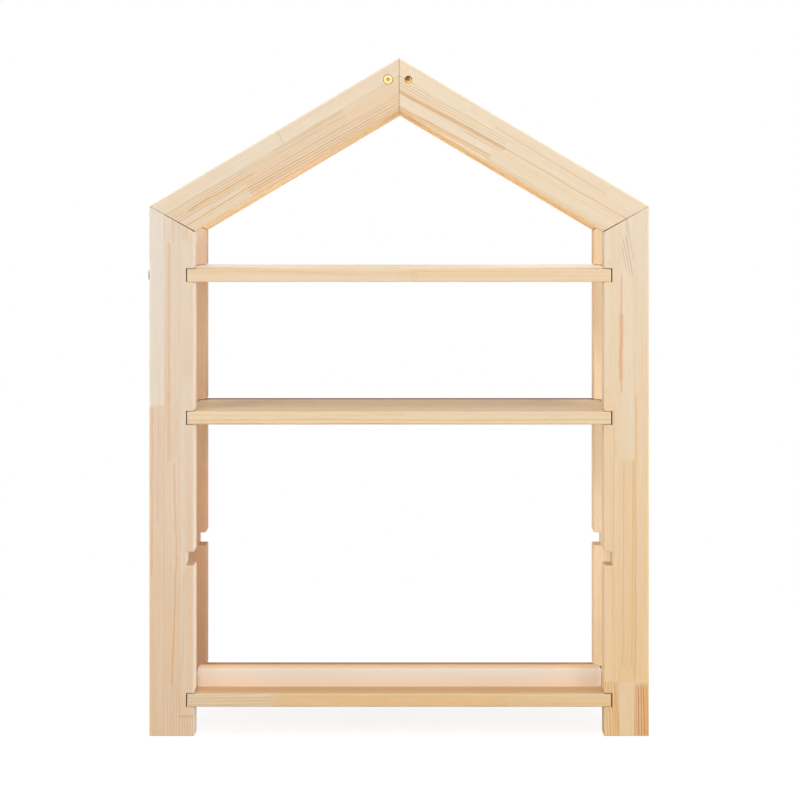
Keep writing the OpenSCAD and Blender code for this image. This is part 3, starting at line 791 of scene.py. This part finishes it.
def chance_pieces(rng, length, tone, rings):
    """Pieces of one stave; length is in mm."""
    start = 0.0
    pieces = []
    while start < length - LAST_PIECE:
        tilt = rng.uniform(*CHANCE_TILTS)
        pieces.append((start, tone + rng.uniform(-CHANCE_TONE, CHANCE_TONE), rng.uniform(*rings), tilt))
        start += rng.uniform(*CHANCE_LENGTHS)
    return pieces


def member_staves(rng, node, length):
    if node in STAVES:
        return STAVES[node]
    tone, rings = CHANCE_LOOKS[node]
    return [chance_pieces(rng, length / MM, tone, rings) for _ in range(MEMBER_STAVES)]


def dress_posts_and_rafters(group):
    rng = random.Random(CHANCE_SEED)
    for face in ("front", "rear"):
        for side, sign in (("left", -1), ("right", 1)):
            post = f"{face}_{side}_post"
            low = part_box(post)[0]
            dress(post, pine(post, low, UP, RIGHT, eave_h, MEMBER_WIDTHS,
                             member_staves(rng, post, eave_h), group, lines=LINES.get(post, ()),
                             **LOOKS[post]))

            rafter = f"{face}_{side}_rafter"
            along = Vector((-sign * math.cos(pitch), 0, math.sin(pitch)))
            outward = Vector((sign * math.sin(pitch), 0, math.cos(pitch)))
            corner = Vector((sign * outer_x, low.y, eave_h)) - member_w * outward
            dress(rafter, pine(rafter, corner, along, outward, rafter_l, MEMBER_WIDTHS,
                               member_staves(rng, rafter, rafter_l), group, lines=LINES.get(rafter, ()),
                               edge_tint=RAFTER_UNDERSIDE_PAINTED_LIGHT, ridge=True, **LOOKS[rafter]))


def dress_boards(group):
    low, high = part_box("ridge_beam")
    dress("ridge_beam", pine("ridge_beam", low, BACK, RIGHT, high.y - low.y, MEMBER_WIDTHS,
                             STAVES["ridge_beam"], group))
    for shelf in ("bottom_shelf", "middle_shelf", "top_shelf"):
        dress(shelf, pine(shelf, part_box(shelf)[0], RIGHT, BACK, shelf_l, SHELF_WIDTHS, STAVES[shelf],
                          group, lines=LINES.get(shelf, ()), layers=LAYERS.get(shelf, ()),
                          flat_lines=True, **LOOKS[shelf]))
    low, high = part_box("shelf_rail")
    dress("shelf_rail", birch("smooth_birch", RIGHT, low.z, high.z))
    for node in ("front_eave_dowels", "rear_eave_dowels", "front_ridge_dowels", "rear_ridge_dowels"):
        low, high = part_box(node)
        dress(node, pine(node, low, RIGHT, BACK, high.x - low.x, DOWEL_WIDTHS, DOWEL_STAVES, group))


def dress_fasteners():
    def middle(node):
        low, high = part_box(node)
        return (low + high) / 2

    dress("front_flush_ridge_bolt", metal("flush_brass", middle("front_flush_ridge_bolt")))
    dress("front_recessed_ridge_bolt",
          metal("recessed_brass", middle("front_recessed_ridge_bolt"), sunk=True))
    brass = metal("yellow_zinc")
    for node in ("rear_ridge_bolts", "ridge_inserts"):
        dress(node, brass)
    # The proud bolt's darkness is painted shade
    dress("proud_shelf_bolt", metal("shade_dark_zinc"))
    steel = metal("bright_zinc")
    for node in ("top_shelf_bolts", "bottom_shelf_bolts", "top_shelf_barrel_nuts",
                 "bottom_shelf_barrel_nuts", "rail_screws"):
        dress(node, steel)


# ---------- studio ----------

WHITE = (1.0, 1.0, 1.0)
SURROUNDINGS = 1.0          # strength of the white that is seen around the case
AMBIENT = (1.0, 0.985, 0.965)
AMBIENT_STRENGTH = 0.10     # of what lights the case from all around
FLOOR_HALF = 12.0
FLOOR_PLAIN = 0.80          # the floor's colour for light that it throws back at the case
FLOOR_SHADED = 0.22         # share of the floor's look that takes light and shadow
FLOOR_GLOW = 0.88           # the rest, so that the open floor is white
FADE_FROM = 0.6             # distance from the origin where the floor starts to fade
FADE_TO = 1.3

# Lamps: (name, place, height that it aims at over the origin, size, watts, colour)
LAMPS = [
    ("key", (-0.3, -3.8, 2.35), 0.6, 1.0, 38, WHITE),
    ("front_low", (0.15, -4.2, 0.75), 0.5, 1.0, 10, WHITE),
    ("right_front", (2.2, -2.9, 1.2), 0.6, 1.2, 22, (1.0, 0.985, 0.955)),
    ("right_rim", (3.2, -0.35, 0.35), 0.6, 1.2, 53, (0.96, 0.985, 1.0)),
    ("left_rim", (-3.2, -0.35, 0.35), 0.6, 1.2, 50, WHITE),
    ("top", (0.1, -0.3, 3.0), 0.5, 2.2, 47, (0.97, 0.985, 1.0)),
    ("high_left", (-1.9, -2.4, 2.6), 0.6, 1.2, 20, WHITE),
    ("back", (0.2, 3.6, 3.0), 0.6, 2.0, 22, WHITE),
]


def seen_directly(net):
    """1 for rays that show the surroundings as such: from the camera, in reflections, through glass."""
    path = net.add("ShaderNodeLightPath").outputs
    return net.math("MAXIMUM", path["Is Camera Ray"],
                    net.math("MAXIMUM", path["Is Glossy Ray"], path["Is Transmission Ray"]))


def mix_shaders(net, factor, a, b):
    node = net.add("ShaderNodeMixShader")
    net.put(node.inputs[0], factor)
    net.put(node.inputs[1], a.outputs[0])
    net.put(node.inputs[2], b.outputs[0])
    return node


def make_world():
    world = bpy.data.worlds.new("studio")
    world.use_nodes = True
    bpy.context.scene.world = world
    net = Net(world.node_tree)
    world.node_tree.nodes.clear()
    ambient = net.add("ShaderNodeBackground")
    ambient.inputs["Color"].default_value = (*AMBIENT, 1.0)
    ambient.inputs["Strength"].default_value = AMBIENT_STRENGTH
    white = net.add("ShaderNodeBackground")
    white.inputs["Color"].default_value = (*WHITE, 1.0)
    white.inputs["Strength"].default_value = SURROUNDINGS
    mixed = mix_shaders(net, seen_directly(net), ambient, white)
    net.put(net.add("ShaderNodeOutputWorld").inputs["Surface"], mixed.outputs[0])


def make_floor():
    """White floor that keeps a faint shadow and fades into the white surroundings away from the case."""
    mesh = bpy.data.meshes.new("floor")
    corners = [(-FLOOR_HALF, -FLOOR_HALF, 0), (FLOOR_HALF, -FLOOR_HALF, 0),
               (FLOOR_HALF, FLOOR_HALF, 0), (-FLOOR_HALF, FLOOR_HALF, 0)]
    mesh.from_pydata(corners, [], [(0, 1, 2, 3)])
    floor = bpy.data.objects.new("floor", mesh)
    bpy.context.scene.collection.objects.link(floor)
    material, net, shader = new_material("studio_floor")
    material.node_tree.nodes.remove(shader)
    plain = net.add("ShaderNodeBsdfDiffuse")
    plain.inputs["Color"].default_value = (FLOOR_PLAIN, FLOOR_PLAIN, FLOOR_PLAIN, 1.0)
    shadowed = net.add("ShaderNodeBsdfDiffuse")
    shadowed.inputs["Color"].default_value = (FLOOR_SHADED, FLOOR_SHADED, FLOOR_SHADED, 1.0)
    glow = net.add("ShaderNodeEmission")
    glow.inputs["Strength"].default_value = FLOOR_GLOW
    shown = net.add("ShaderNodeAddShader")
    net.put(shown.inputs[0], shadowed.outputs[0])
    net.put(shown.inputs[1], glow.outputs[0])
    away = net.vector("LENGTH", net.add("ShaderNodeTexCoord").outputs["Object"])
    fade = net.ramp(net.math("DIVIDE", away, FLOOR_HALF),
                    [(FADE_FROM / FLOOR_HALF, 0.0), (FADE_TO / FLOOR_HALF, 1.0)], "EASE")
    faded = mix_shaders(net, fade, shown, net.add("ShaderNodeBsdfTransparent"))
    mixed = mix_shaders(net, seen_directly(net), plain, faded)
    net.put(material.node_tree.nodes["Material Output"].inputs["Surface"], mixed.outputs[0])
    mesh.materials.append(material)


def make_lamp(name, place, aim_height, size, watts, colour):
    data = bpy.data.lights.new(name, "AREA")
    data.shape = "SQUARE"
    data.size = size
    data.energy = watts
    data.color = colour
    lamp = bpy.data.objects.new(name, data)
    lamp.location = place
    aim = Vector((0, 0, aim_height)) - Vector(place)
    lamp.rotation_euler = aim.to_track_quat("-Z", "Y").to_euler()
    bpy.context.scene.collection.objects.link(lamp)


make_camera()
make_world()
make_floor()
for lamp_settings in LAMPS:
    make_lamp(*lamp_settings)
grain_group = make_grain_group()
dress_posts_and_rafters(grain_group)
dress_boards(grain_group)
dress_fasteners()

scene = bpy.context.scene
scene.view_settings.view_transform = "Standard"
